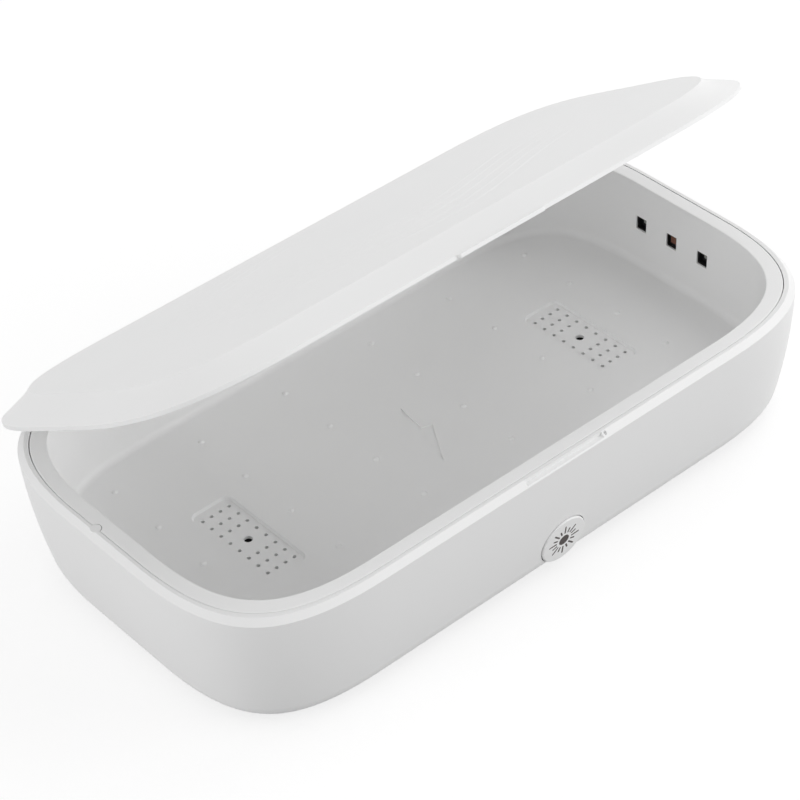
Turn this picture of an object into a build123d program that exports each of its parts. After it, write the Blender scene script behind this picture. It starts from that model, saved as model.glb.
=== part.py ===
"""Sterilising box for phones: a bowl-shaped base with an inner tray, a crowned lid on two gooseneck
hinges, one push button on the front, UV lamps in the end walls and a charging coil under the floor.

Millimetres. +X along the length, +Y to the back, +Z up. The origin is the centre of the plane that
the feet rest on. The lid stands open by LID_OPEN; its pieces are drawn on the plane LID, whose own
coordinates are those of the closed lid.
"""

import os
from math import atan, cos, radians, sin, tan

from build123d import *

os.makedirs("parts", exist_ok=True)

# --- base: plan and heights -----------------------------------------------------------------------
HALF_LENGTH = 106.2  # widest outline, just under the rim
HALF_WIDTH = 59.5
CORNER = 44.0
FULLNESS = 0.745  # length of a corner's curve handles, as a share of the corner

FOOT_PROUD = 0.8
BAND_Z = 39.55  # height of the widest outline
RIM_Z = 41.2
RIM_CHAMFER = RIM_Z - BAND_Z
LEAN_SPAN = 32.65  # the wall's lean grows evenly over this drop
TOP_LEAN = tan(radians(1.2))
FOOT_LEAN = tan(radians(11.6))
BOTTOM_RADIUS = 7.6
WALL = 2.0
SHELL_LEVELS = (FOOT_PROUD, 7.0, 17.0, 28.0, BAND_Z)
LIP_Z = 37.2  # above it the shell thickens inward to the parting line

# --- inner tray -----------------------------------------------------------------------------------
FLOOR_Z = 14.2
TRAY_WALL = 1.8
CAVITY_TOP = (99.1, 52.65, 38.5)
CAVITY_FLOOR = (97.6, 51.15, 37.1)
PARTING = (103.6, 56.9, 42.3)
PARTING_GAP = 0.2
FLANGE_Z = 39.0
FLOOR_RADIUS = 2.0
TRAY_UNDER_RADIUS = 3.0
DOME_COLUMNS = (16.1, 46.2, 76.1)
DOME_PITCH = 19.85
DOME_RADIUS = 0.9
DOME_HEIGHT = 0.5
BOLT = ((2.9, 11.5), (1.5, 1.3), (4.7, 0.2), (-3.3, -13.4), (-0.9, -1.4), (-4.4, -0.2))
BOLT_DEPTH = 0.3

# --- scent plates in the floor --------------------------------------------------------------------
PLATE_X = 61.2
PLATE_WIDTH = 13.5
PLATE_LENGTH = 35.0
PLATE_DEPTH = 0.8
PERFORATION = 1.1
PERFORATION_PITCH = (3.0, 4.0)
SCENT_HOLE = 2.5

# --- lamps in the end walls -----------------------------------------------------------------------
LAMP_Z = 28.05
LAMP_PITCH = 12.3
WINDOW_WIDTH = 4.0
WINDOW_HEIGHT = 4.4
LAMP_BOARD_X = 101.8
LAMP_BOARD = (1.0, 35.0, 9.4)
LAMP_FACE_X = 98.7
LAMP_WIDTH = 3.9
LAMP_HEIGHT = 4.3
LAMP_RIM = 0.3  # wall of the lamp's well
UVC_WELL = 1.6
UVA_WELL = 1.0
UVC_CHIP = 1.1
UVA_CHIP = 2.3
CHIP_HEIGHT = 0.35
CHIP_SINK = 0.1
PEG_Y = 15.5

# --- button ---------------------------------------------------------------------------------------
BUTTON_X = 0.5
BUTTON_Z = 10.9
BUTTON_RADIUS = 7.6
BUTTON_GAP = 0.25
BUTTON_PROUD = 0.43
BUTTON_BACK = 2.2
SYMBOL_DEPTH = 0.3
SUN_RADIUS = 1.75
RAY_COUNT = 16
RAY_START = 2.55
RAY_LONG_END = 5.4
RAY_SHORT_END = 4.35
RAY_WIDTH = 0.52

# --- finger notch, indicator and locating key in the rim ------------------------------------------
NOTCH_HALF = 13.7
NOTCH_FLOOR_Z = 39.9
NOTCH_Y = 57.85
INDICATOR = (14.6, -58.45)
INDICATOR_TOP = 40.4
KEY_Y = 4.9
KEY_RADIUS = 1.45

# --- lid and hinges -------------------------------------------------------------------------------
LID_OPEN = 31.7
HINGE_Y = 55.85
HINGE_Z = 32.0
HINGE_X = 58.0
LID_Z = 41.6  # underside of the closed lid
LID_HALF_LENGTH = 105.2
LID_HALF_WIDTH = 58.5
LID_CORNER = 43.1
LID_LIP = 1.05
CREASE_INSET = 8.9
CREASE_HEIGHT = 6.2
CREASE_CORNER = 34.6
CREASE_SHIFT = -1.1
LID_CROWN = 1.0
LINER_INSET = 2.8
LINER_TOP = 1.3  # heights above LID_Z
LINER_BOTTOM = 0.1
LINER_GAP = 0.2
LID_HOLLOW_TOP = 4.6
TAB_X = 1.0
TAB_HALF = 14.5
TAB_REACH = 0.8

ARM_HALF = 6.0
ARM_BACK_Y = 57.0
BARREL_RADIUS = 1.25
PIN_RADIUS = 0.7
PIN_PLAY = 0.05
KNUCKLE_GAP = 0.2
KNUCKLE_WIDTH = 2.2
HINGE_WIDTH = 2 * (ARM_HALF + KNUCKLE_GAP + KNUCKLE_WIDTH)
HINGE_NOTCH_HALF = ARM_HALF + 0.5
HINGE_NOTCH_Z = 29.6
ARM_FOOT_Y = 43.2
ARM_SCREW_Y = 48.0
ARM_SCREW_X = 3.5

# --- fastening and inner parts --------------------------------------------------------------------
FOOT_X = 80.0
FOOT_Y = 33.0
FOOT_RADIUS = 5.0
FOOT_HEIGHT = 1.6
CASE_JOINT_Z = 7.0  # tray posts stand on the shell's bosses here
CASE_SCREW_SEAT_Z = 4.0
COIL_SCREW_RADIUS = 30.0
COIL_SCREW_ANGLE = 30.0
COIL_HOLDER_Z = 8.4
MAIN_BOARD = (80.0, 21.0, 1.6)
MAIN_BOARD_Y = 40.5
MAIN_BOARD_Z = 6.0
MAIN_POST = (36.0, 7.0)
BUTTON_BOARD = (30.0, 12.5, 1.6)
BUTTON_BOARD_Y = -43.25
BUTTON_BOARD_Z = 4.6
BUTTON_POST_X = 12.0
USB_WIDTH = 8.94
USB_HEIGHT = 3.26
USB_MOUTH_Y = 55.4
USB_LENGTH = 7.4
CUP = (17.0, 38.4, 4.2)
CUP_WALL = 1.2
LINER_SCREW = (80.0, 25.0)
SCREW_HEAD = (1.75, 0.8, 0.95)  # countersunk head: radius below, radius above, height
SCREW_SINK = (1.85, 0.9, 0.95)
BUMPER = (40.0, 54.2)
SENSOR_X = 30.0


UPWARD = (Align.CENTER, Align.CENTER, Align.MIN)
DOWNWARD = (Align.CENTER, Align.CENTER, Align.MAX)


# --- helpers --------------------------------------------------------------------------------------
def outline(half_x, half_y, corner, shift=0.0):
    """Draw a closed plan outline: straight sides, and full corners that are curves."""
    handle = FULLNESS * corner
    corners = []
    for sx, sy in ((1, 1), (-1, 1), (-1, -1), (1, -1)):
        points = [
            (sx * half_x, shift + sy * (half_y - corner)),
            (sx * half_x, shift + sy * (half_y - corner + handle)),
            (sx * (half_x - corner + handle), shift + sy * half_y),
            (sx * (half_x - corner), shift + sy * half_y),
        ]
        corners.append(points if sx * sy > 0 else points[::-1])
    for here, following in zip(corners, corners[1:] + corners[:1]):
        Bezier(*here)
        Line(here[-1], following[0])


def grown(plan, margin):
    """The plan (half length, half width, corner) grown by a margin on every side."""
    return tuple(size + margin for size in plan)


def shell_inset(z):
    """How far the shell's outer wall has drawn in at height z."""
    drop = BAND_Z - z
    return drop * (TOP_LEAN + (FOOT_LEAN - TOP_LEAN) * drop / LEAN_SPAN / 2)


def shell_plan(z, wall=0.0):
    return grown((HALF_LENGTH, HALF_WIDTH, CORNER), -shell_inset(z) - wall)


def cavity_plan(z):
    """The tray's drafted cavity at height z."""
    share = (z - FLOOR_Z) / (RIM_Z - FLOOR_Z)
    return tuple(low + (high - low) * share for low, high in zip(CAVITY_FLOOR, CAVITY_TOP))


def lid_plan(inset, corner, shift=0.0):
    return (LID_HALF_LENGTH - inset, LID_HALF_WIDTH - inset, corner, shift)


BUTTON_LEAN = atan(TOP_LEAN + (FOOT_LEAN - TOP_LEAN) * (BAND_Z - BUTTON_Z) / LEAN_SPAN)
BUTTON_PLANE = Plane(
    origin=(BUTTON_X, shell_inset(BUTTON_Z) - HALF_WIDTH, BUTTON_Z),
    x_dir=(1, 0, 0),
    z_dir=(0, -cos(BUTTON_LEAN), -sin(BUTTON_LEAN)),
)

swing = radians(LID_OPEN)
LID = Plane(
    origin=(
        0,
        HINGE_Y - HINGE_Y * cos(swing) - HINGE_Z * sin(swing),
        HINGE_Z + HINGE_Y * sin(swing) - HINGE_Z * cos(swing),
    ),
    x_dir=(1, 0, 0),
    z_dir=(0, sin(swing), cos(swing)),
)
LID_SIDE = Plane(origin=LID.origin, x_dir=LID.y_dir, z_dir=LID.x_dir)

foot_places = [(x, y) for x in (-FOOT_X, FOOT_X) for y in (-FOOT_Y, FOOT_Y)]
main_posts = [
    (x, MAIN_BOARD_Y + y) for x in (-MAIN_POST[0], MAIN_POST[0]) for y in (-MAIN_POST[1], MAIN_POST[1])
]
button_posts = [(x, BUTTON_BOARD_Y) for x in (-BUTTON_POST_X, BUTTON_POST_X)]
liner_screws = [(x, y) for x in (-LINER_SCREW[0], LINER_SCREW[0]) for y in (-LINER_SCREW[1], LINER_SCREW[1])]
arm_screws = [
    (hinge + x, ARM_SCREW_Y) for hinge in (-HINGE_X, HINGE_X) for x in (-ARM_SCREW_X, ARM_SCREW_X)
]
UNDER_TRAY_Z = FLOOR_Z - TRAY_WALL


# === base body ====================================================================================
# The hollow of the bowl, cut from the shell below.
with BuildPart() as bowl_hollow:
    for z in (FOOT_PROUD + WALL, 7.0, 17.0, 28.0, LIP_Z):
        with BuildSketch(Plane.XY.offset(z)):
            with BuildLine():
                outline(*shell_plan(z, WALL))
            make_face()
    loft()
    fillet(bowl_hollow.faces().sort_by(Axis.Z)[0].edges(), BOTTOM_RADIUS - WALL)

with BuildPart() as base_shell:
    for z in SHELL_LEVELS:
        with BuildSketch(Plane.XY.offset(z)):
            with BuildLine():
                outline(*shell_plan(z))
            make_face()
    loft()
    fillet(base_shell.faces().sort_by(Axis.Z)[0].edges(), BOTTOM_RADIUS)
    for z, step in ((BAND_Z, 0.0), (RIM_Z, RIM_CHAMFER)):
        with BuildSketch(Plane.XY.offset(z)):
            with BuildLine():
                outline(*grown((HALF_LENGTH, HALF_WIDTH, CORNER), -step))
            make_face()
    loft(ruled=True)
    add(bowl_hollow.part, mode=Mode.SUBTRACT)
    with BuildSketch(Plane.XY.offset(LIP_Z)):
        with BuildLine():
            outline(*PARTING)
        make_face()
    extrude(amount=RIM_Z - LIP_Z, mode=Mode.SUBTRACT)
    # half-round key that locates the tray
    with Locations((-PARTING[0], KEY_Y, RIM_Z)):
        Cylinder(KEY_RADIUS, RIM_Z - LIP_Z, align=DOWNWARD)
    # bosses for the case screws and posts for the boards
    with Locations(*[(x, y, WALL) for x, y in foot_places]):
        Cylinder(4.2, CASE_JOINT_Z - WALL, align=UPWARD)
    with Locations(*[(x, y, WALL) for x, y in main_posts]):
        Cylinder(2.5, MAIN_BOARD_Z - WALL, align=UPWARD)
    with Locations(*[(x, y, WALL) for x, y in button_posts]):
        Cylinder(2.2, BUTTON_BOARD_Z - WALL, align=UPWARD)
    with Locations(*[(x, y, 0) for x, y in foot_places + [(0, 0)]]):
        Cylinder(FOOT_RADIUS + 0.2, FOOT_HEIGHT, align=UPWARD, mode=Mode.SUBTRACT)
    with Locations(*[(x, y, 0) for x, y in foot_places]):
        Cylinder(2.6, CASE_SCREW_SEAT_Z, align=UPWARD, mode=Mode.SUBTRACT)
        Cylinder(1.3, CASE_JOINT_Z + 1, align=UPWARD, mode=Mode.SUBTRACT)
    with Locations(*[(x, y, MAIN_BOARD_Z) for x, y in main_posts]):
        Cylinder(0.8, 3.0, align=DOWNWARD, mode=Mode.SUBTRACT)
    with Locations(*[(x, y, BUTTON_BOARD_Z) for x, y in button_posts]):
        Cylinder(0.8, 2.0, align=DOWNWARD, mode=Mode.SUBTRACT)
    # round hole for the button
    with BuildSketch(BUTTON_PLANE.offset(2.0)):
        Circle(BUTTON_RADIUS + BUTTON_GAP)
    extrude(amount=-8.0, mode=Mode.SUBTRACT)
    # opening for the charging plug
    with BuildSketch(Plane.XZ.offset(-50.0)):
        with Locations((0, MAIN_BOARD_Z + MAIN_BOARD[2] + USB_HEIGHT / 2)):
            SlotOverall(USB_WIDTH + 0.5, USB_HEIGHT + 0.5)
    extrude(amount=-12.0, mode=Mode.SUBTRACT)
    # notches that the hinge arms swing through, and relief for the knuckles
    with Locations((-HINGE_X, 54.0, HINGE_NOTCH_Z), (HINGE_X, 54.0, HINGE_NOTCH_Z)):
        Box(
            2 * HINGE_NOTCH_HALF,
            10.0,
            RIM_Z,
            align=(Align.CENTER, Align.MIN, Align.MIN),
            mode=Mode.SUBTRACT,
        )
    with Locations((-HINGE_X, 54.0, HINGE_Z), (HINGE_X, 54.0, HINGE_Z)):
        Box(18.0, 3.7, 4.0, align=(Align.CENTER, Align.MIN, Align.CENTER), mode=Mode.SUBTRACT)
    # finger notch in the front rim
    with BuildSketch(Plane.XY.offset(NOTCH_FLOOR_Z)):
        with Locations((0, -NOTCH_Y)):
            Rectangle(2 * NOTCH_HALF, 4.0, align=(Align.CENTER, Align.MAX))
    extrude(amount=3.0, mode=Mode.SUBTRACT)
    # hole for the indicator
    with Locations((INDICATOR[0], INDICATOR[1], RIM_Z)):
        Cylinder(0.45, 6.0, mode=Mode.SUBTRACT)
base_shell.part.label = "base_shell"

# The tray: drafted cavity, floor, flange, lamp frames and posts.
with BuildPart() as cavity:
    for z in (FLOOR_Z, RIM_Z + 1.0):
        with BuildSketch(Plane.XY.offset(z)):
            with BuildLine():
                outline(*cavity_plan(z))
            make_face()
    loft(ruled=True)
    fillet(cavity.faces().sort_by(Axis.Z)[0].edges(), FLOOR_RADIUS)

with BuildPart() as inner_tray:
    for z in (UNDER_TRAY_Z, RIM_Z):
        with BuildSketch(Plane.XY.offset(z)):
            with BuildLine():
                outline(*grown(cavity_plan(z), TRAY_WALL))
            make_face()
    loft(ruled=True)
    fillet(inner_tray.faces().sort_by(Axis.Z)[0].edges(), TRAY_UNDER_RADIUS)
    with BuildSketch(Plane.XY.offset(FLANGE_Z)):
        with BuildLine():
            outline(*grown(PARTING, -PARTING_GAP))
        make_face()
    extrude(amount=RIM_Z - FLANGE_Z)
    # frames that carry the lamp boards, with pegs
    for side in (-1, 1):
        with Locations((side * (LAMP_BOARD_X - 1.4), 0, LAMP_Z)):
            Box(2.8, LAMP_BOARD[1], 7.0)
        with Locations(Location((side * LAMP_BOARD_X, PEG_Y, LAMP_Z), (0, 90, 0)),
                       Location((side * LAMP_BOARD_X, -PEG_Y, LAMP_Z), (0, 90, 0))):
            Cylinder(0.7, 2.5)
    # posts for the case screws and bosses for the coil holder
    with Locations(*[(x, y, CASE_JOINT_Z) for x, y in foot_places]):
        Cylinder(3.2, FLOOR_Z - CASE_JOINT_Z, align=UPWARD)
    with Locations((0, 0, COIL_HOLDER_Z + 1.6)):
        with PolarLocations(COIL_SCREW_RADIUS, 3, start_angle=COIL_SCREW_ANGLE):
            Cylinder(2.3, 3.2, align=UPWARD)
    # bosses for the hinge brackets and a shelf for the lid sensor
    for hinge in (-HINGE_X, HINGE_X):
        for x in (-5.0, 5.0):
            with Locations(Location((hinge + x, 54.3, 26.0), (90, 0, 0))):
                Cylinder(2.2, 1.6, align=UPWARD)
    with Locations((SENSOR_X - 1.0, -53.4, 32.8)):
        Box(2.0, 2.6, 0.8, align=(Align.CENTER, Align.MAX, Align.MAX))
    add(cavity.part, mode=Mode.SUBTRACT)
    fillet(
        inner_tray.faces().filter_by(Axis.Z).group_by(Axis.Z)[-1].sort_by(SortBy.AREA)[-1].edges(), 0.35
    )
    # windows in the end walls
    with Locations(*[(side * 99.0, y, LAMP_Z) for side in (-1, 1) for y in (-LAMP_PITCH, 0, LAMP_PITCH)]):
        Box(7.0, WINDOW_WIDTH, WINDOW_HEIGHT, mode=Mode.SUBTRACT)
    # pilot holes
    with Locations(*[(x, y, CASE_JOINT_Z) for x, y in foot_places]):
        Cylinder(1.2, 5.0, align=UPWARD, mode=Mode.SUBTRACT)
    with Locations((0, 0, COIL_HOLDER_Z + 1.6)):
        with PolarLocations(COIL_SCREW_RADIUS, 3, start_angle=COIL_SCREW_ANGLE):
            Cylinder(0.75, 3.2, align=UPWARD, mode=Mode.SUBTRACT)
    for hinge in (-HINGE_X, HINGE_X):
        for x in (-5.0, 5.0):
            with Locations(Location((hinge + x, 54.3, 26.0), (90, 0, 0))):
                Cylinder(0.75, 1.8, align=UPWARD, mode=Mode.SUBTRACT)
    # notches for the hinge arms and the locating key
    with Locations((-HINGE_X, 54.25, FLANGE_Z - 1), (HINGE_X, 54.25, FLANGE_Z - 1)):
        Box(2 * HINGE_NOTCH_HALF, 6.0, 6.0, align=(Align.CENTER, Align.MIN, Align.MIN), mode=Mode.SUBTRACT)
    with Locations((-PARTING[0], KEY_Y, RIM_Z)):
        Cylinder(KEY_RADIUS + 0.2, 6.0, mode=Mode.SUBTRACT)
    # recessed scent plates with perforations
    with BuildSketch(Plane.XY.offset(FLOOR_Z)):
        with Locations((-PLATE_X, 0), (PLATE_X, 0)):
            RectangleRounded(PLATE_WIDTH, PLATE_LENGTH, 2.5)
    extrude(amount=-PLATE_DEPTH, taper=30, mode=Mode.SUBTRACT)
    with BuildSketch(Plane.XY.offset(FLOOR_Z)):
        with Locations((-PLATE_X, 0), (PLATE_X, 0)):
            with GridLocations(PERFORATION_PITCH[0], PERFORATION_PITCH[1], 4, 8):
                Circle(PERFORATION / 2)
            Rectangle(4.2, 6.2, mode=Mode.SUBTRACT)
            Circle(SCENT_HOLE / 2)
    extrude(amount=-3.0, mode=Mode.SUBTRACT)
    # engraved bolt sign
    with BuildSketch(Plane.XY.offset(FLOOR_Z)):
        Polygon(*BOLT, align=None)
    extrude(amount=-BOLT_DEPTH, mode=Mode.SUBTRACT)
    # domes that the phone lies on
    sphere_radius = (DOME_RADIUS**2 + DOME_HEIGHT**2) / (2 * DOME_HEIGHT)
    dome_places = [
        (side * x, row * DOME_PITCH, FLOOR_Z + DOME_HEIGHT - sphere_radius)
        for side in (-1, 1)
        for x in DOME_COLUMNS
        for row in (-2, -1, 0, 1, 2)
    ]
    with Locations(*dome_places):
        Sphere(sphere_radius)
inner_tray.part.label = "inner_tray"

# four feet over the case screws and one in the middle, under the charging coil
with BuildPart() as rubber_feet:
    with Locations(*[(x, y, 0) for x, y in foot_places + [(0, 0)]]):
        Cylinder(FOOT_RADIUS, FOOT_HEIGHT, align=UPWARD)
    fillet(rubber_feet.faces().group_by(Axis.Z)[0].edges(), 0.4)
rubber_feet.part.label = "rubber_feet"

with BuildPart() as case_screws:
    with Locations(*[(x, y, CASE_SCREW_SEAT_Z) for x, y in foot_places]):
        Cylinder(2.4, 1.8, align=DOWNWARD)
        Cylinder(1.15, 7.4, align=UPWARD)
case_screws.part.label = "case_screws"

with BuildPart() as indicator_pin:
    with Locations((INDICATOR[0], INDICATOR[1], INDICATOR_TOP)):
        Cylinder(0.42, 2.0, align=DOWNWARD)
indicator_pin.part.label = "indicator_pin"

# --- scent cups and pads under the plates ---------------------------------------------------------
for side, name in ((-1, "left"), (1, "right")):
    with BuildPart() as aroma_cup:
        with Locations((side * PLATE_X, 0, UNDER_TRAY_Z)):
            Box(*CUP, align=DOWNWARD)
            Box(
                CUP[0] - 2 * CUP_WALL,
                CUP[1] - 2 * CUP_WALL,
                CUP[2] - CUP_WALL,
                align=DOWNWARD,
                mode=Mode.SUBTRACT,
            )
    aroma_cup.part.label = "aroma_cup_" + name
    export_step(aroma_cup.part, "parts/aroma_cup_" + name + ".step")

    with BuildPart() as aroma_pad:
        with Locations((side * PLATE_X, 0, UNDER_TRAY_Z - CUP[2] + CUP_WALL)):
            Box(14.2, 35.6, 2.4, align=UPWARD)
        fillet(aroma_pad.edges().filter_by(Axis.Z), 2.0)
    aroma_pad.part.label = "aroma_pad_" + name
    export_step(aroma_pad.part, "parts/aroma_pad_" + name + ".step")

    # --- lamps of this end wall ---
    with BuildPart() as uv_board:
        with Locations((side * (LAMP_BOARD_X + LAMP_BOARD[0] / 2), 0, LAMP_Z)):
            Box(*LAMP_BOARD)
        with Locations(Location((side * LAMP_BOARD_X, PEG_Y, LAMP_Z), (0, 90, 0)),
                       Location((side * LAMP_BOARD_X, -PEG_Y, LAMP_Z), (0, 90, 0))):
            Cylinder(0.8, 4.0, mode=Mode.SUBTRACT)
    uv_board.part.label = "uv_board_" + name
    export_step(uv_board.part, "parts/uv_board_" + name + ".step")

    # each lamp is a block with a well in its face and a chip on the well's floor
    with BuildPart() as uvc_lamps:
        for y in (-LAMP_PITCH, LAMP_PITCH):
            with Locations((side * (LAMP_BOARD_X + LAMP_FACE_X) / 2, y, LAMP_Z)):
                Box(LAMP_BOARD_X - LAMP_FACE_X, LAMP_WIDTH, LAMP_HEIGHT)
            with Locations((side * (LAMP_FACE_X + UVC_WELL / 2), y, LAMP_Z)):
                Box(UVC_WELL, LAMP_WIDTH - 2 * LAMP_RIM, LAMP_HEIGHT - 2 * LAMP_RIM, mode=Mode.SUBTRACT)
            with Locations((side * (LAMP_FACE_X + UVC_WELL + CHIP_SINK - CHIP_HEIGHT / 2), y, LAMP_Z)):
                Box(CHIP_HEIGHT, UVC_CHIP, UVC_CHIP)
    uvc_lamps.part.label = "uvc_lamps_" + name
    export_step(uvc_lamps.part, "parts/uvc_lamps_" + name + ".step")

    with BuildPart() as uva_lamp:
        with Locations((side * (LAMP_BOARD_X + LAMP_FACE_X) / 2, 0, LAMP_Z)):
            Box(LAMP_BOARD_X - LAMP_FACE_X, LAMP_WIDTH, LAMP_HEIGHT)
        with Locations((side * (LAMP_FACE_X + UVA_WELL / 2), 0, LAMP_Z)):
            Box(UVA_WELL, LAMP_WIDTH - 2 * LAMP_RIM, LAMP_HEIGHT - 2 * LAMP_RIM, mode=Mode.SUBTRACT)
        with Locations((side * (LAMP_FACE_X + UVA_WELL + CHIP_SINK - CHIP_HEIGHT / 2), 0, LAMP_Z)):
            Box(CHIP_HEIGHT, UVA_CHIP, UVA_CHIP)
    uva_lamp.part.label = "uva_lamp_" + name
    export_step(uva_lamp.part, "parts/uva_lamp_" + name + ".step")

    # two-core lead from the lamp board, under the tray, to the main board
    with BuildPart() as lamp_lead:
        for step in (0.0, 1.5):
            with BuildLine() as route:
                Spline(
                    (side * 102.2, 13.0 + step, LAMP_Z - LAMP_BOARD[2] / 2),
                    (side * 100.7, 13.5 + step, 14.0),
                    (side * 98.3, 15.0 + step, 9.6),
                    (side * 92.0, 18.0 + step, 6.4),
                    (side * 76.0, 22.5 + step, 5.2),
                    (side * 58.0, 24.0 + step, 5.0),
                    (side * 42.0, 25.0 + step, 6.0),
                    (side * 31.0, 28.0 + step, 9.0),
                    tangents=((0, 0, -1), (-side, 0.2, 0.6)),
                )
            with BuildSketch(Plane(origin=route.line @ 0, z_dir=route.line % 0)):
                Circle(0.6)
            sweep(path=route.line)
    lamp_lead.part.label = "lamp_lead_" + name
    export_step(lamp_lead.part, "parts/lamp_lead_" + name + ".step")

# --- charging coil under the middle of the floor --------------------------------------------------
with BuildPart() as coil_holder:
    with BuildSketch(Plane.XY.offset(COIL_HOLDER_Z)):
        Circle(27.0)
        with PolarLocations(COIL_SCREW_RADIUS - 1.5, 3, start_angle=COIL_SCREW_ANGLE):
            SlotOverall(9.0, 5.6)
        with PolarLocations(COIL_SCREW_RADIUS, 3, start_angle=COIL_SCREW_ANGLE):
            Circle(0.85, mode=Mode.SUBTRACT)
    extrude(amount=1.6)
coil_holder.part.label = "coil_holder"

with BuildPart() as coil_screws:
    with Locations((0, 0, COIL_HOLDER_Z)):
        with PolarLocations(COIL_SCREW_RADIUS, 3, start_angle=COIL_SCREW_ANGLE):
            Cylinder(1.6, 1.1, align=DOWNWARD)
            Cylinder(0.7, 4.4, align=UPWARD)
coil_screws.part.label = "coil_screws"

with BuildPart() as ferrite_plate:
    with Locations((0, 0, COIL_HOLDER_Z + 1.6)):
        Cylinder(24.5, 0.8, align=UPWARD)
ferrite_plate.part.label = "ferrite_plate"

with BuildPart() as charging_coil:
    with BuildSketch(Plane.XY.offset(COIL_HOLDER_Z + 2.4)):
        Circle(22.0)
        Circle(11.0, mode=Mode.SUBTRACT)
    extrude(amount=1.2)
charging_coil.part.label = "charging_coil"

# --- main board at the back, with the charging socket ---------------------------------------------
with BuildPart() as main_board:
    with Locations((0, MAIN_BOARD_Y, MAIN_BOARD_Z)):
        Box(*MAIN_BOARD, align=UPWARD)
    with Locations(*[(x, y, MAIN_BOARD_Z) for x, y in main_posts]):
        Cylinder(0.9, 6.0, mode=Mode.SUBTRACT)
main_board.part.label = "main_board"

board_top = MAIN_BOARD_Z + MAIN_BOARD[2]
board_part_list = (
    ((-10.0, 38.0), (7.0, 7.0, 1.0)),
    ((10.0, 37.0), (5.0, 5.0, 0.9)),
    ((21.0, 43.0), (6.0, 6.0, 3.0)),
    ((-22.0, 44.0), (6.5, 3.2, 2.4)),
    ((-13.0, 45.5), (3.2, 1.6, 1.0)),
    ((13.5, 45.0), (3.2, 2.5, 1.2)),
    ((28.0, 34.5), (6.0, 4.0, 3.0)),
    ((-28.0, 34.5), (6.0, 4.0, 3.0)),
    ((0.0, 36.2), (9.0, 2.0, 1.2)),
)
with BuildPart() as board_parts:
    for (x, y), size in board_part_list:
        with Locations((x, y, board_top)):
            Box(*size, align=UPWARD)
board_parts.part.label = "board_parts"

with BuildPart() as usb_socket:
    with BuildSketch(Plane.XZ.offset(-USB_MOUTH_Y)):
        with Locations((0, board_top + USB_HEIGHT / 2)):
            SlotOverall(USB_WIDTH, USB_HEIGHT)
    extrude(amount=USB_LENGTH)
    with BuildSketch(Plane.XZ.offset(-USB_MOUTH_Y)):
        with Locations((0, board_top + USB_HEIGHT / 2)):
            SlotOverall(USB_WIDTH - 0.6, USB_HEIGHT - 0.6)
    extrude(amount=USB_LENGTH - 1.2, mode=Mode.SUBTRACT)
    with Locations((0, USB_MOUTH_Y - USB_LENGTH + 0.6, board_top + USB_HEIGHT / 2)):
        Box(6.6, 6.0, 0.7, align=(Align.CENTER, Align.MIN, Align.CENTER))
usb_socket.part.label = "usb_socket"

with BuildPart() as board_screws:
    with Locations(*[(x, y, board_top) for x, y in main_posts]):
        Cylinder(1.7, 1.2, align=UPWARD)
        Cylinder(0.75, 4.2, align=DOWNWARD)
    with Locations(*[(x, y, BUTTON_BOARD_Z + BUTTON_BOARD[2]) for x, y in button_posts]):
        Cylinder(1.7, 1.2, align=UPWARD)
        Cylinder(0.75, 3.4, align=DOWNWARD)
board_screws.part.label = "board_screws"

# --- button board, switch and ribbon --------------------------------------------------------------
with BuildPart() as button_board:
    with Locations((0, BUTTON_BOARD_Y, BUTTON_BOARD_Z)):
        Box(*BUTTON_BOARD, align=UPWARD)
    with Locations(*[(x, y, BUTTON_BOARD_Z) for x, y in button_posts]):
        Cylinder(0.9, 6.0, mode=Mode.SUBTRACT)
button_board.part.label = "button_board"

button_board_top = BUTTON_BOARD_Z + BUTTON_BOARD[2]
SWITCH_FACE_Y = -49.4
with BuildPart() as button_switch:
    with Locations((BUTTON_X, SWITCH_FACE_Y, button_board_top)):
        Box(4.5, 3.6, 3.8, align=(Align.CENTER, Align.MIN, Align.MIN))
    with Locations(Location((BUTTON_X, SWITCH_FACE_Y, button_board_top + 2.0), (90, 0, 0))):
        Cylinder(1.1, 0.45, align=UPWARD)
button_switch.part.label = "button_switch"

with BuildPart() as board_ribbon:
    with BuildLine() as ribbon_route:
        FilletPolyline(
            (0, -40.5, button_board_top + 0.3),
            (0, -34.0, button_board_top + 0.3),
            (0, -31.0, 4.0),
            (0, 25.0, 4.0),
            (0, 28.0, board_top + 0.3),
            (0, 33.5, board_top + 0.3),
            radius=1.5,
        )
    with BuildSketch(Plane(origin=ribbon_route.line @ 0, x_dir=(1, 0, 0), z_dir=(0, 1, 0))):
        Rectangle(8.0, 0.6)
    sweep(path=ribbon_route.line)
board_ribbon.part.label = "board_ribbon"

# --- lid sensor, with its lead down to the button board -------------------------------------------
with BuildPart() as lid_sensor:
    with Locations((SENSOR_X, -54.5, 32.8)):
        Box(4.0, 1.5, 3.0, align=(Align.CENTER, Align.MAX, Align.MIN))
lid_sensor.part.label = "lid_sensor"

with BuildPart() as sensor_lead:
    with BuildLine() as sensor_route:
        Spline(
            (SENSOR_X + 1.2, -55.2, 32.8),
            (SENSOR_X + 1.0, -54.4, 18.0),
            (SENSOR_X - 2.0, -52.2, 9.8),
            (SENSOR_X - 9.0, -47.0, 7.6),
            (13.0, -46.5, button_board_top + 0.9),
            tangents=((0, 0, -1), (-1, 0, 0)),
        )
    with BuildSketch(Plane(origin=sensor_route.line @ 0, z_dir=sensor_route.line % 0)):
        Circle(0.5)
    sweep(path=sensor_route.line)
sensor_lead.part.label = "sensor_lead"

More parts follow.
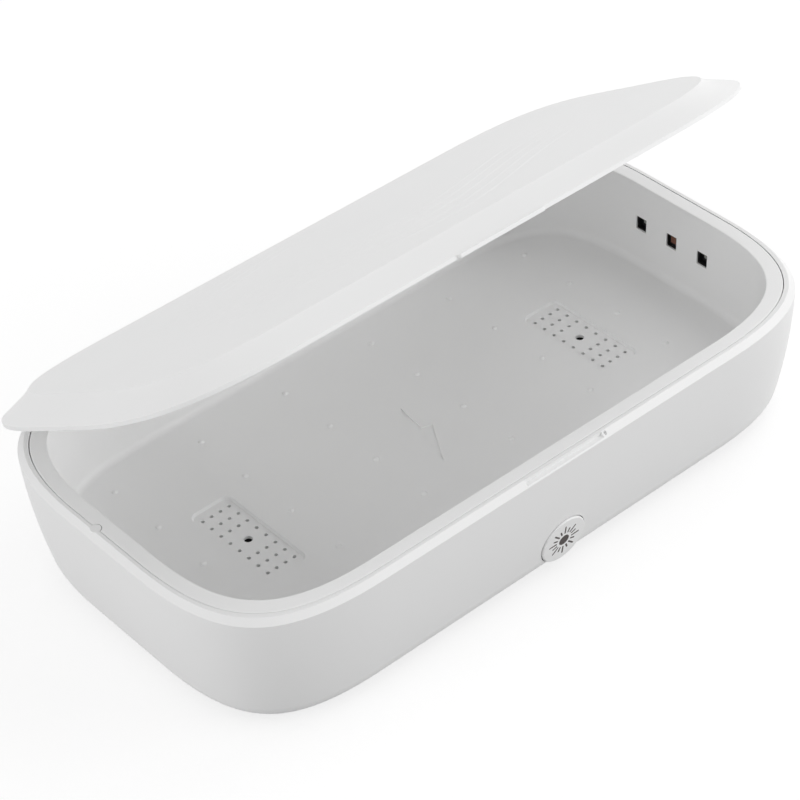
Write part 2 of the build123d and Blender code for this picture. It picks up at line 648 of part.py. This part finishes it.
# === button =======================================================================================
def sun_sign():
    """Draw the sign: a disc, and rays that are long and short in turn."""
    Circle(SUN_RADIUS)
    for ray in range(RAY_COUNT):
        end = RAY_LONG_END if ray % 2 == 0 else RAY_SHORT_END
        with Locations(Location((0, 0), 360.0 * ray / RAY_COUNT)):
            with Locations(((RAY_START + end) / 2, 0)):
                SlotOverall(end - RAY_START, RAY_WIDTH)


with BuildPart() as button_cap:
    with BuildSketch(BUTTON_PLANE.offset(-BUTTON_BACK)):
        Circle(BUTTON_RADIUS)
    extrude(amount=BUTTON_BACK + BUTTON_PROUD)
    fillet(button_cap.faces().sort_by(Axis((0, 0, 0), BUTTON_PLANE.z_dir))[-1].edges(), 0.4)
    # ears that hold the cap behind the wall
    with BuildSketch(BUTTON_PLANE.offset(-BUTTON_BACK - 0.9)):
        with Locations((0, -1.4)):
            Rectangle(2 * BUTTON_RADIUS + 3.0, 4.0)
    extrude(amount=0.9)
    # stem toward the switch
    with BuildSketch(BUTTON_PLANE.offset(-BUTTON_BACK)):
        with Locations((0, -3.2)):
            Circle(1.6)
    extrude(amount=-3.2)
    with BuildSketch(BUTTON_PLANE.offset(BUTTON_PROUD)):
        sun_sign()
    extrude(amount=-SYMBOL_DEPTH, mode=Mode.SUBTRACT)
button_cap.part.label = "button_cap"

with BuildPart() as button_symbol:
    with BuildSketch(BUTTON_PLANE.offset(BUTTON_PROUD)):
        sun_sign()
    extrude(amount=-SYMBOL_DEPTH)
button_symbol.part.label = "button_symbol"

# === hinges =======================================================================================
for side, name in ((-1, "left"), (1, "right")):
    hinge = side * HINGE_X
    with BuildPart() as hinge_bracket:
        with Locations((hinge, 54.3, 22.5)):
            Box(HINGE_WIDTH, 1.0, 7.3, align=(Align.CENTER, Align.MIN, Align.MIN))
        for x in (-1, 1):
            middle = hinge + x * (ARM_HALF + KNUCKLE_GAP + KNUCKLE_WIDTH / 2)
            with Locations((middle, 54.3, 28.0)):
                Box(KNUCKLE_WIDTH, 2.0, HINGE_Z - 28.0, align=(Align.CENTER, Align.MIN, Align.MIN))
            with Locations(Location((middle, HINGE_Y, HINGE_Z), (0, 90, 0))):
                Cylinder(BARREL_RADIUS, KNUCKLE_WIDTH)
                Cylinder(PIN_RADIUS, KNUCKLE_WIDTH, mode=Mode.SUBTRACT)
        for x in (-5.0, 5.0):
            with Locations(Location((hinge + x, 54.3, 26.0), (90, 0, 0))):
                Cylinder(0.95, 4.0, mode=Mode.SUBTRACT)
    hinge_bracket.part.label = "hinge_bracket_" + name
    export_step(hinge_bracket.part, "parts/hinge_bracket_" + name + ".step")

    with BuildPart(LID) as hinge_arm:
        with BuildSketch(LID_SIDE.offset(hinge - ARM_HALF)):
            with Locations((HINGE_Y, HINGE_Z)):
                Circle(BARREL_RADIUS)
            with BuildLine():
                Polyline(
                    (HINGE_Y - BARREL_RADIUS, HINGE_Z),
                    (HINGE_Y - BARREL_RADIUS, LID_Z + LINER_BOTTOM),
                    (ARM_FOOT_Y, LID_Z + LINER_BOTTOM),
                    (ARM_FOOT_Y, LID_Z + LINER_TOP),
                    (ARM_BACK_Y, LID_Z + LINER_TOP),
                    (ARM_BACK_Y, HINGE_Z),
                    close=True,
                )
            make_face()
            with Locations((HINGE_Y, HINGE_Z)):
                Circle(PIN_RADIUS + PIN_PLAY, mode=Mode.SUBTRACT)
        extrude(amount=2 * ARM_HALF)
        screw_z = LID_Z + LINER_BOTTOM
        with Locations(*[(hinge + x, ARM_SCREW_Y, screw_z) for x in (-ARM_SCREW_X, ARM_SCREW_X)]):
            Cone(*SCREW_SINK, align=UPWARD, mode=Mode.SUBTRACT)
            Cylinder(0.9, 6.0, mode=Mode.SUBTRACT)
    hinge_arm.part.label = "hinge_arm_" + name
    export_step(hinge_arm.part, "parts/hinge_arm_" + name + ".step")

with BuildPart() as hinge_pins:
    with Locations(
        Location((-HINGE_X, HINGE_Y, HINGE_Z), (0, 90, 0)), Location((HINGE_X, HINGE_Y, HINGE_Z), (0, 90, 0))
    ):
        Cylinder(PIN_RADIUS, HINGE_WIDTH)
hinge_pins.part.label = "hinge_pins"

with BuildPart() as bracket_screws:
    for hinge in (-HINGE_X, HINGE_X):
        for x in (-5.0, 5.0):
            with Locations(Location((hinge + x, 55.3, 26.0), (90, 0, 0))):
                Cylinder(1.6, 1.0, align=DOWNWARD)
                Cylinder(0.7, 2.6, align=UPWARD)
bracket_screws.part.label = "bracket_screws"

# === lid ==========================================================================================
# The hollow over the liner, drawn for the closed lid and cut from the shell on its own plane below.
with BuildPart() as lid_hollow:
    for height, inset, corner in ((LINER_TOP - 0.1, 5.0, 38.5), (LID_HOLLOW_TOP, 11.8, 32.0)):
        with BuildSketch(Plane.XY.offset(LID_Z + height)):
            with BuildLine():
                outline(*lid_plan(inset, corner))
            make_face()
    loft(ruled=True)

with BuildPart(LID) as lid_shell:
    for height in (0.0, LID_LIP):
        with BuildSketch(LID.offset(LID_Z + height)):
            with BuildLine():
                outline(*lid_plan(0.0, LID_CORNER))
            make_face()
    loft(ruled=True)
    border = (
        (LID_LIP, 0.0, LID_CORNER, 0.0),
        (2.0, 1.6, 42.6, -0.2),
        (3.3, 4.1, 41.0, -0.5),
        (CREASE_HEIGHT, CREASE_INSET, CREASE_CORNER, CREASE_SHIFT),
    )
    for height, inset, corner, shift in border:
        with BuildSketch(LID.offset(LID_Z + height)):
            with BuildLine():
                outline(*lid_plan(inset, corner, shift))
            make_face()
    loft()
    for rise in (0.0, 0.35, 0.65, 0.86, 0.97):
        share = (1 - rise) ** 0.5
        with BuildSketch(LID.offset(LID_Z + CREASE_HEIGHT + LID_CROWN * rise)):
            with BuildLine():
                outline(
                    (LID_HALF_LENGTH - CREASE_INSET) * share,
                    (LID_HALF_WIDTH - CREASE_INSET) * share,
                    CREASE_CORNER * share,
                    CREASE_SHIFT,
                )
            make_face()
    loft()
    # finger tab on the front lip
    with BuildSketch(LID.offset(LID_Z)):
        with Locations((TAB_X, -LID_HALF_WIDTH)):
            RectangleRounded(2 * TAB_HALF, 2 * TAB_REACH, TAB_REACH - 0.1)
    extrude(amount=LID_LIP)
    add(lid_hollow.part, mode=Mode.SUBTRACT)
    with BuildSketch(LID.offset(LID_Z)):
        with BuildLine():
            outline(*lid_plan(LINER_INSET, LID_CORNER - LINER_INSET))
        make_face()
    extrude(amount=LINER_TOP, mode=Mode.SUBTRACT)
    # bosses for the arm screws and the liner screws
    with Locations(*[(hinge, 50.5, LID_Z + LINER_TOP) for hinge in (-HINGE_X, HINGE_X)]):
        Box(2 * ARM_HALF, 7.0, 3.6, align=(Align.CENTER, Align.MAX, Align.MIN))
    with Locations(*[(x, y, LID_Z + LINER_TOP) for x, y in liner_screws]):
        Cylinder(2.4, 4.0, align=UPWARD)
    with Locations(*[(x, y, LID_Z + LINER_TOP) for x, y in liner_screws + arm_screws]):
        Cylinder(0.85, 2.8, align=UPWARD, mode=Mode.SUBTRACT)
    # pockets for the hinge arms
    with Locations(*[(hinge, ARM_BACK_Y + 0.2, LID_Z - 1.0) for hinge in (-HINGE_X, HINGE_X)]):
        Box(
            2 * HINGE_NOTCH_HALF - 0.6,
            6.0,
            LINER_TOP + 1.0,
            align=(Align.CENTER, Align.MAX, Align.MIN),
            mode=Mode.SUBTRACT,
        )
lid_shell.part.label = "lid_shell"

with BuildPart(LID) as lid_liner:
    with BuildSketch(LID.offset(LID_Z + LINER_BOTTOM)):
        with BuildLine():
            outline(*lid_plan(LINER_INSET + LINER_GAP, LID_CORNER - LINER_INSET - LINER_GAP))
        make_face()
        with Locations((-HINGE_X, ARM_FOOT_Y - 0.2), (HINGE_X, ARM_FOOT_Y - 0.2)):
            Rectangle(2 * ARM_HALF + 0.4, 20.0, align=(Align.CENTER, Align.MIN), mode=Mode.SUBTRACT)
    extrude(amount=LINER_TOP - LINER_BOTTOM)
    with Locations(*[(x, y, LID_Z + LINER_BOTTOM) for x, y in liner_screws]):
        Cone(*SCREW_SINK, align=UPWARD, mode=Mode.SUBTRACT)
        Cylinder(0.9, 6.0, mode=Mode.SUBTRACT)
lid_liner.part.label = "lid_liner"

with BuildPart(LID) as lid_screws:
    with Locations(*[(x, y, LID_Z + LINER_BOTTOM) for x, y in liner_screws + arm_screws]):
        Cone(*SCREW_HEAD, align=UPWARD)
        Cylinder(0.8, 3.8, align=UPWARD)
lid_screws.part.label = "lid_screws"

with BuildPart(LID) as lid_magnet:
    with Locations((SENSOR_X, -47.0, LID_Z + LINER_TOP)):
        Cylinder(3.0, 1.5, align=UPWARD)
lid_magnet.part.label = "lid_magnet"

with BuildPart(LID) as lid_bumpers:
    with Locations((0, 0, LID_Z + LINER_BOTTOM)):
        with GridLocations(2 * BUMPER[0], 2 * BUMPER[1], 2, 2):
            Cylinder(1.3, 0.35, align=DOWNWARD)
lid_bumpers.part.label = "lid_bumpers"

for piece in (
    base_shell,
    inner_tray,
    rubber_feet,
    case_screws,
    indicator_pin,
    coil_holder,
    coil_screws,
    ferrite_plate,
    charging_coil,
    main_board,
    board_parts,
    usb_socket,
    board_screws,
    button_board,
    button_switch,
    board_ribbon,
    lid_sensor,
    sensor_lead,
    button_cap,
    button_symbol,
    hinge_pins,
    bracket_screws,
    lid_shell,
    lid_liner,
    lid_screws,
    lid_magnet,
    lid_bumpers,
):
    export_step(piece.part, "parts/" + piece.part.label + ".step")
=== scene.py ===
"""Looks of the phone sterilising box: plastic finishes, lamps, printed sign, lid relief and the studio."""

import math

import bmesh
import bpy
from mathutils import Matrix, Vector
from mathutils.bvhtree import BVHTree


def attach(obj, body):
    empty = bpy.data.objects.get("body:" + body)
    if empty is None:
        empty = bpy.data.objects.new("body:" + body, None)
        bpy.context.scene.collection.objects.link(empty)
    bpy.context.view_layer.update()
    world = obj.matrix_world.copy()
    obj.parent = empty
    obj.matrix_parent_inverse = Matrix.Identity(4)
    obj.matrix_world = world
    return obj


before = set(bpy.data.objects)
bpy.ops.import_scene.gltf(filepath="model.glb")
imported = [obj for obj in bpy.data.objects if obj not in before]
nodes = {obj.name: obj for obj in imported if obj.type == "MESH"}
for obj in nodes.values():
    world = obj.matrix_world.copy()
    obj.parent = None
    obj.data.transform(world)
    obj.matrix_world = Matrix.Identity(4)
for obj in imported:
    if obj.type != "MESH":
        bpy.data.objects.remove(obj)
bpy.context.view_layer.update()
MM = 0.001
LAMP_Z = 28.05
LAMP_PITCH = 12.3


# --- materials --------------------------------------------------------------------------------------
def new_material(name, color, roughness, specular=0.5, metallic=0.0):
    """A Principled material; returns it with its node tree and shader."""
    material = bpy.data.materials.new(name)
    material.use_nodes = True
    tree = material.node_tree
    shader = tree.nodes["Principled BSDF"]
    shader.inputs["Base Color"].default_value = (*color, 1.0)
    shader.inputs["Roughness"].default_value = roughness
    shader.inputs["Specular IOR Level"].default_value = specular
    shader.inputs["Metallic"].default_value = metallic
    return material, tree, shader


def object_noise(tree, scale, detail=3.0, roughness=0.5):
    """Noise fixed to the object, with its scale in features per metre."""
    place = tree.nodes.new("ShaderNodeTexCoord")
    noise = tree.nodes.new("ShaderNodeTexNoise")
    noise.inputs["Scale"].default_value = scale
    noise.inputs["Detail"].default_value = detail
    noise.inputs["Roughness"].default_value = roughness
    tree.links.new(place.outputs["Object"], noise.inputs["Vector"])
    return noise


def ranged(tree, value, low, high):
    """Map a 0 to 1 value to a range."""
    mapped = tree.nodes.new("ShaderNodeMapRange")
    mapped.inputs["To Min"].default_value = low
    mapped.inputs["To Max"].default_value = high
    tree.links.new(value, mapped.inputs["Value"])
    return mapped.outputs["Result"]


def tinted(tree, value, dark, light):
    """Blend two colours by a value."""
    mix = tree.nodes.new("ShaderNodeMix")
    mix.data_type = "RGBA"
    mix.inputs["A"].default_value = (*dark, 1.0)
    mix.inputs["B"].default_value = (*light, 1.0)
    tree.links.new(value, mix.inputs["Factor"])
    return mix.outputs["Result"]


def bumped(tree, shader, height, strength, distance):
    bump = tree.nodes.new("ShaderNodeBump")
    bump.inputs["Strength"].default_value = strength
    bump.inputs["Distance"].default_value = distance
    tree.links.new(height, bump.inputs["Height"])
    tree.links.new(bump.outputs["Normal"], shader.inputs["Normal"])
    return bump


def moulded_plastic(name, dark, light, roughness, grain=4500.0, grain_depth=0.00002, specular=0.5):
    """Moulded plastic: faint cloudiness in the colour, fine erosion grain in the surface."""
    material, tree, shader = new_material(name, light, roughness, specular)
    cloud = object_noise(tree, 28.0, 3.0)
    tree.links.new(tinted(tree, cloud.outputs["Fac"], dark, light), shader.inputs["Base Color"])
    fine = object_noise(tree, grain, 2.0, 0.6)
    tree.links.new(
        ranged(tree, fine.outputs["Fac"], roughness - 0.06, roughness + 0.08), shader.inputs["Roughness"]
    )
    bumped(tree, shader, fine.outputs["Fac"], 0.25, grain_depth)
    return material


def metal(name, color, roughness):
    """Plain machined or plated metal with fine streaks."""
    material, tree, shader = new_material(name, color, roughness, 0.5, 1.0)
    streak = object_noise(tree, 1800.0, 2.0)
    tree.links.new(
        ranged(tree, streak.outputs["Fac"], roughness - 0.08, roughness + 0.12), shader.inputs["Roughness"]
    )
    bumped(tree, shader, streak.outputs["Fac"], 0.2, 0.00002)
    return material


def board_material(name, color, trace):
    """Printed circuit board: lacquer over faint copper traces."""
    material, tree, shader = new_material(name, color, 0.35)
    place = tree.nodes.new("ShaderNodeTexCoord")
    brick = tree.nodes.new("ShaderNodeTexBrick")
    brick.inputs["Scale"].default_value = 260.0
    brick.inputs["Mortar Size"].default_value = 0.04
    brick.inputs["Color1"].default_value = (*color, 1.0)
    brick.inputs["Color2"].default_value = (*[c * 0.92 for c in color], 1.0)
    brick.inputs["Mortar"].default_value = (*trace, 1.0)
    tree.links.new(place.outputs["Object"], brick.inputs["Vector"])
    tree.links.new(brick.outputs["Color"], shader.inputs["Base Color"])
    bumped(tree, shader, brick.outputs["Fac"], 0.3, 0.00003)
    return material


def felt_material(name, color):
    """Pressed felt: fibrous noise in colour and surface."""
    material, tree, shader = new_material(name, color, 0.95, 0.2)
    fibre = object_noise(tree, 2600.0, 6.0, 0.7)
    dark = tuple(c * 0.8 for c in color)
    tree.links.new(tinted(tree, fibre.outputs["Fac"], dark, color), shader.inputs["Base Color"])
    bumped(tree, shader, fibre.outputs["Fac"], 0.6, 0.0002)
    return material


def lamp_material(name, chip_half, chip_color, chip_metal):
    """Black lamp body; the chip stands out by its place, within chip_half of each lamp's middle."""
    material, tree, shader = new_material(name, (0.012, 0.012, 0.013), 0.35)
    place = tree.nodes.new("ShaderNodeTexCoord")
    split = tree.nodes.new("ShaderNodeSeparateXYZ")
    tree.links.new(place.outputs["Object"], split.inputs["Vector"])

    def near(value, middle):
        """1 where the value is within chip_half of the middle or of its mirror image."""
        size = tree.nodes.new("ShaderNodeMath")
        size.operation = "ABSOLUTE"
        tree.links.new(value, size.inputs[0])
        match = tree.nodes.new("ShaderNodeMath")
        match.operation = "COMPARE"
        match.inputs[1].default_value = middle * MM
        match.inputs[2].default_value = chip_half * MM
        tree.links.new(size.outputs["Value"], match.inputs[0])
        return match.outputs["Value"]

    across = near(split.outputs["Y"], LAMP_PITCH if name == "uvc_lamp" else 0.0)
    upright = near(split.outputs["Z"], LAMP_Z)
    chip = tree.nodes.new("ShaderNodeMath")
    chip.operation = "MULTIPLY"
    tree.links.new(across, chip.inputs[0])
    tree.links.new(upright, chip.inputs[1])
    grain = object_noise(tree, 3000.0, 2.0)
    body = tinted(tree, grain.outputs["Fac"], (0.008, 0.008, 0.009), (0.02, 0.02, 0.021))
    mix = tree.nodes.new("ShaderNodeMix")
    mix.data_type = "RGBA"
    tree.links.new(chip.outputs["Value"], mix.inputs["Factor"])
    tree.links.new(body, mix.inputs["A"])
    mix.inputs["B"].default_value = (*chip_color, 1.0)
    tree.links.new(mix.outputs["Result"], shader.inputs["Base Color"])
    tree.links.new(ranged(tree, chip.outputs["Value"], 0.0, chip_metal), shader.inputs["Metallic"])
    return material


def give(material, *names):
    """Put the material on every slot of the CAD nodes."""
    for name in names:
        slots = nodes[name].data.materials
        for index in range(len(slots)):
            slots[index] = material
        if not slots:
            slots.append(material)


white_shell = moulded_plastic("white_shell", (0.86, 0.86, 0.86), (0.88, 0.88, 0.88), 0.45)
white_lid = moulded_plastic("white_lid", (0.86, 0.86, 0.86), (0.88, 0.88, 0.88), 0.45)
white_tray = moulded_plastic("white_tray", (0.88, 0.88, 0.88), (0.90, 0.90, 0.90), 0.50)
white_inner = moulded_plastic("white_inner", (0.76, 0.76, 0.75), (0.80, 0.80, 0.79), 0.55)
button_white = moulded_plastic("button_white", (0.88, 0.88, 0.88), (0.90, 0.90, 0.90), 0.40)
symbol_dark = moulded_plastic("symbol_dark", (0.03, 0.022, 0.021), (0.05, 0.036, 0.034), 0.6)
clear_smoke = moulded_plastic("clear_smoke", (0.62, 0.62, 0.62), (0.68, 0.68, 0.68), 0.25)
rubber_pale = moulded_plastic("rubber_pale", (0.5, 0.5, 0.5), (0.58, 0.58, 0.58), 0.8, 1500.0, 0.00005)
chip_black = moulded_plastic("chip_black", (0.012, 0.012, 0.012), (0.02, 0.02, 0.022), 0.6)
wire_white = moulded_plastic("wire_white", (0.7, 0.7, 0.7), (0.76, 0.76, 0.76), 0.5)
ribbon_white = moulded_plastic("ribbon_white", (0.66, 0.66, 0.64), (0.72, 0.72, 0.7), 0.4)
ferrite_grey = moulded_plastic("ferrite_grey", (0.03, 0.03, 0.033), (0.05, 0.05, 0.055), 0.7)
steel = metal("steel", (0.58, 0.58, 0.6), 0.32)
copper = metal("copper", (0.72, 0.3, 0.16), 0.35)
magnet_plating = metal("magnet_plating", (0.7, 0.7, 0.72), 0.18)
board_green = board_material("board_green", (0.02, 0.12, 0.05), (0.06, 0.25, 0.11))
board_white = board_material("board_white", (0.7, 0.7, 0.68), (0.5, 0.5, 0.48))
# Near-black pad colour is painted shade: it stands in for the dark seen down through the perforated plates
# above the pads.
pad_felt = felt_material("pad_felt", (0.03, 0.03, 0.032))
cup_dark = moulded_plastic("cup_dark", (0.03, 0.03, 0.03), (0.045, 0.045, 0.045), 0.6)

give(white_shell, "base_shell")
give(white_lid, "lid_shell")
give(white_tray, "inner_tray")
give(white_inner, "lid_liner", "coil_holder")
give(cup_dark, "aroma_cup_left", "aroma_cup_right")
give(white_inner, "hinge_arm_left", "hinge_arm_right")
give(button_white, "button_cap")
give(symbol_dark, "button_symbol")
give(clear_smoke, "indicator_pin")
give(rubber_pale, "rubber_feet", "lid_bumpers")
give(chip_black, "board_parts", "button_switch", "lid_sensor")
give(lamp_material("uvc_lamp", 0.75, (0.5, 0.5, 0.48), 0.9), "uvc_lamps_left", "uvc_lamps_right")
give(lamp_material("uva_lamp", 1.3, (0.2, 0.075, 0.045), 0.3), "uva_lamp_left", "uva_lamp_right")
give(wire_white, "lamp_lead_left", "lamp_lead_right", "sensor_lead")
give(ribbon_white, "board_ribbon")
give(ferrite_grey, "ferrite_plate")
give(steel, "case_screws", "coil_screws", "board_screws", "bracket_screws", "lid_screws")
give(steel, "hinge_pins", "hinge_bracket_left", "hinge_bracket_right", "usb_socket")
give(copper, "charging_coil")
give(magnet_plating, "lid_magnet")
give(board_green, "main_board", "button_board")
give(board_white, "uv_board_left", "uv_board_right")
give(pad_felt, "aroma_pad_left", "aroma_pad_right")


# --- wavy lines on the lid ----------------------------------------------------------------------------
# Plan positions are those of the closed lid, in millimetres. The lid turns about HINGE to its place at rest.
LID_OPEN = math.radians(31.7)
HINGE = (55.85, 32.0)  # y and z
ABOVE_LID = 60.0
LINE_WIDTH = 3.0
LINE_HEIGHT = 0.16
LINE_SINK = 0.04
LINE_STEP = 1.0
LINE_TAPER = 9.0
SECTION_STEPS = 10


def opened(x, y, z):
    """A point of the closed lid, where it is with the lid open at rest, in metres."""
    y, z = y - HINGE[0], z - HINGE[1]
    turned_y = y * math.cos(LID_OPEN) + z * math.sin(LID_OPEN)
    turned_z = z * math.cos(LID_OPEN) - y * math.sin(LID_OPEN)
    return Vector((x, HINGE[0] + turned_y, HINGE[1] + turned_z)) * MM


def half_wave(x, start, low, length, rise):
    """A cosine that leaves the height low at start and reaches low + rise after length."""
    share = min(max((x - start) / length, 0.0), 1.0)
    return low + rise * (1 - math.cos(math.pi * share)) / 2


def front_line(x, number):
    """Lines of the front bundle: a trough in the middle of the lid, higher to the right."""
    if x < 1.5:
        middle = half_wave(-x, -1.5, -26.6, 56.0, 16.0)
    else:
        middle = half_wave(x, 1.5, -26.6, 66.0, 20.4)
    return middle + 5.95 * (number - 2)


def back_line(x, number):
    """Lines of the back bundle: level at the left, then up toward the back edge."""
    return half_wave(x, -55.0, 15.4, 62.0, 17.2) + 5.75 * number


def lid_line(name, course, start, end):
    """A raised line that follows course(x) over the lid's top and fades out at both ends."""
    lid = nodes["lid_shell"]
    surface = BVHTree.FromObject(lid, bpy.context.evaluated_depsgraph_get())
    inward = (opened(0, 0, 0) - opened(0, 0, 1)).normalized()
    mesh = bmesh.new()
    rings = []
    steps = int((end - start) / LINE_STEP)
    for step in range(steps + 1):
        x = start + (end - start) * step / steps
        slope = (course(x + 0.5) - course(x - 0.5)) / 1.0
        across = Vector((-slope, 1.0)).normalized()
        fade = min(1.0, (x - start) / LINE_TAPER, (end - x) / LINE_TAPER)
        fade = math.sin(math.pi / 2 * max(fade, 0.0)) ** 2
        ring = []
        for part in range(SECTION_STEPS + 1):
            side = 2 * part / SECTION_STEPS - 1
            px = x + across.x * side * LINE_WIDTH / 2
            py = course(x) + across.y * side * LINE_WIDTH / 2
            hit = surface.ray_cast(opened(px, py, ABOVE_LID), inward)[0]
            if hit is None:
                ring = []
                break
            height = LINE_HEIGHT * fade * math.cos(math.pi / 2 * side) ** 2 - LINE_SINK
            ring.append(hit - inward * height * MM)
        if ring:
            for end_point in (ring[-1], ring[0]):
                ring.append(end_point + inward * LINE_SINK * MM)
            rings.append([mesh.verts.new(point) for point in ring])
    for here, following in zip(rings, rings[1:]):
        for index in range(len(here)):
            turn = (index + 1) % len(here)
            mesh.faces.new((here[index], here[turn], following[turn], following[index]))
    mesh.faces.new(rings[0])
    mesh.faces.new(rings[-1][::-1])
    bmesh.ops.recalc_face_normals(mesh, faces=mesh.faces)
    data = bpy.data.meshes.new(name)
    mesh.to_mesh(data)
    mesh.free()
    data.polygons.foreach_set("use_smooth", [True] * len(data.polygons))
    line = bpy.data.objects.new(name, data)
    line.data.materials.append(white_lid)
    bpy.context.scene.collection.objects.link(line)
    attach(line, "lid")


for number in range(5):
    lid_line(f"lid_front_line_{number + 1}", lambda x, n=number: front_line(x, n), -68.0, 71.0)
for number, start in enumerate((-66.0, -54.0, -50.0, -46.0, -46.0)):
    lid_line(f"lid_back_line_{number + 1}", lambda x, n=number: back_line(x, n), start, 12.0 - 7.0 * number)

# --- studio ---------------------------------------------------------------------------------------------
CAMERA_PLACE = Vector((-359.32, -446.62, 498.73)) * MM
CAMERA_TURN = (50.426, 3.208, -40.969)  # degrees, XYZ Euler
CAMERA_LENS = 121.84
FLOOR_HALF = 4.0
LAMP_DISTANCE = 1.5
LAMP_SIDE = 0.9
LAMP_AIM = Vector((0, 0, 0.03))
FLOOR_GLOW = 0.7


def seen_directly(tree):
    """1 for rays from the camera, and for those that gloss and clear parts send on."""
    path = tree.nodes.new("ShaderNodeLightPath")
    total = path.outputs["Is Camera Ray"]
    for kind in ("Is Glossy Ray", "Is Transmission Ray"):
        either = tree.nodes.new("ShaderNodeMath")
        either.operation = "MAXIMUM"
        tree.links.new(total, either.inputs[0])
        tree.links.new(path.outputs[kind], either.inputs[1])
        total = either.outputs["Value"]
    return total


def make_floor():
    """A white floor that reads as white when seen and keeps the object's shadow."""
    bpy.ops.mesh.primitive_plane_add(size=2 * FLOOR_HALF, location=(0, 0, -0.0002))
    floor = bpy.context.object
    floor.name = "studio_floor"
    material, tree, shader = new_material("studio_floor", (0.35, 0.35, 0.35), 0.9, 0.0)
    glow = tree.nodes.new("ShaderNodeEmission")
    glow.inputs["Strength"].default_value = FLOOR_GLOW
    both = tree.nodes.new("ShaderNodeAddShader")
    pick = tree.nodes.new("ShaderNodeMixShader")
    output = tree.nodes["Material Output"]
    tree.links.new(shader.outputs["BSDF"], both.inputs[0])
    tree.links.new(glow.outputs["Emission"], both.inputs[1])
    tree.links.new(seen_directly(tree), pick.inputs["Fac"])
    tree.links.new(shader.outputs["BSDF"], pick.inputs[1])
    tree.links.new(both.outputs["Shader"], pick.inputs[2])
    tree.links.new(pick.outputs["Shader"], output.inputs["Surface"])
    floor.data.materials.append(material)


def make_world(ambient):
    """Even light from all round; seen directly it is plain white."""
    world = bpy.data.worlds.new("studio_world")
    bpy.context.scene.world = world
    world.use_nodes = True
    tree = world.node_tree
    light = tree.nodes["Background"]
    light.inputs["Color"].default_value = (1, 1, 1, 1)
    light.inputs["Strength"].default_value = ambient
    seen = tree.nodes.new("ShaderNodeBackground")
    seen.inputs["Strength"].default_value = 1.0
    pick = tree.nodes.new("ShaderNodeMixShader")
    output = tree.nodes["World Output"]
    tree.links.new(seen_directly(tree), pick.inputs["Fac"])
    tree.links.new(light.outputs["Background"], pick.inputs[1])
    tree.links.new(seen.outputs["Background"], pick.inputs[2])
    tree.links.new(pick.outputs["Shader"], output.inputs["Surface"])


def softbox(name, turn, rise, watts):
    """A square area lamp round the box, at LAMP_DISTANCE from its middle and pointing at it."""
    data = bpy.data.lights.new(name, "AREA")
    data.shape = "SQUARE"
    data.size = LAMP_SIDE
    data.energy = watts
    lamp = bpy.data.objects.new(name, data)
    turn, rise = math.radians(turn), math.radians(rise)
    level = LAMP_DISTANCE * math.cos(rise)
    lamp.location = (level * math.cos(turn), level * math.sin(turn), LAMP_DISTANCE * math.sin(rise))
    aim = LAMP_AIM - lamp.location
    lamp.rotation_mode = "QUATERNION"
    lamp.rotation_quaternion = aim.to_track_quat("-Z", "Y")
    lamp.visible_camera = False
    bpy.context.scene.collection.objects.link(lamp)


def make_camera():
    data = bpy.data.cameras.new("photo_camera")
    data.lens = CAMERA_LENS
    data.sensor_width = 36.0
    camera = bpy.data.objects.new("photo_camera", data)
    camera.location = CAMERA_PLACE
    camera.rotation_euler = [math.radians(angle) for angle in CAMERA_TURN]
    data.clip_start = 0.01
    data.clip_end = 50.0
    bpy.context.scene.collection.objects.link(camera)
    bpy.context.scene.camera = camera


# name: (direction in degrees from +X, height angle in degrees, watts)
SOFTBOXES = {
    "lamp_back_right": (45, 15, 2.8),
    "lamp_back_left": (135, 15, 1.1),
    "lamp_left": (180, 15, 7.2),
    "lamp_front_right": (315, 15, 9.9),
    "lamp_high_right": (0, 50, 3.6),
}
make_floor()
make_world(0.592)
for lamp_name, (turn, rise, watts) in SOFTBOXES.items():
    softbox(lamp_name, turn, rise, watts)
make_camera()
bpy.context.scene.view_settings.view_transform = "Standard"
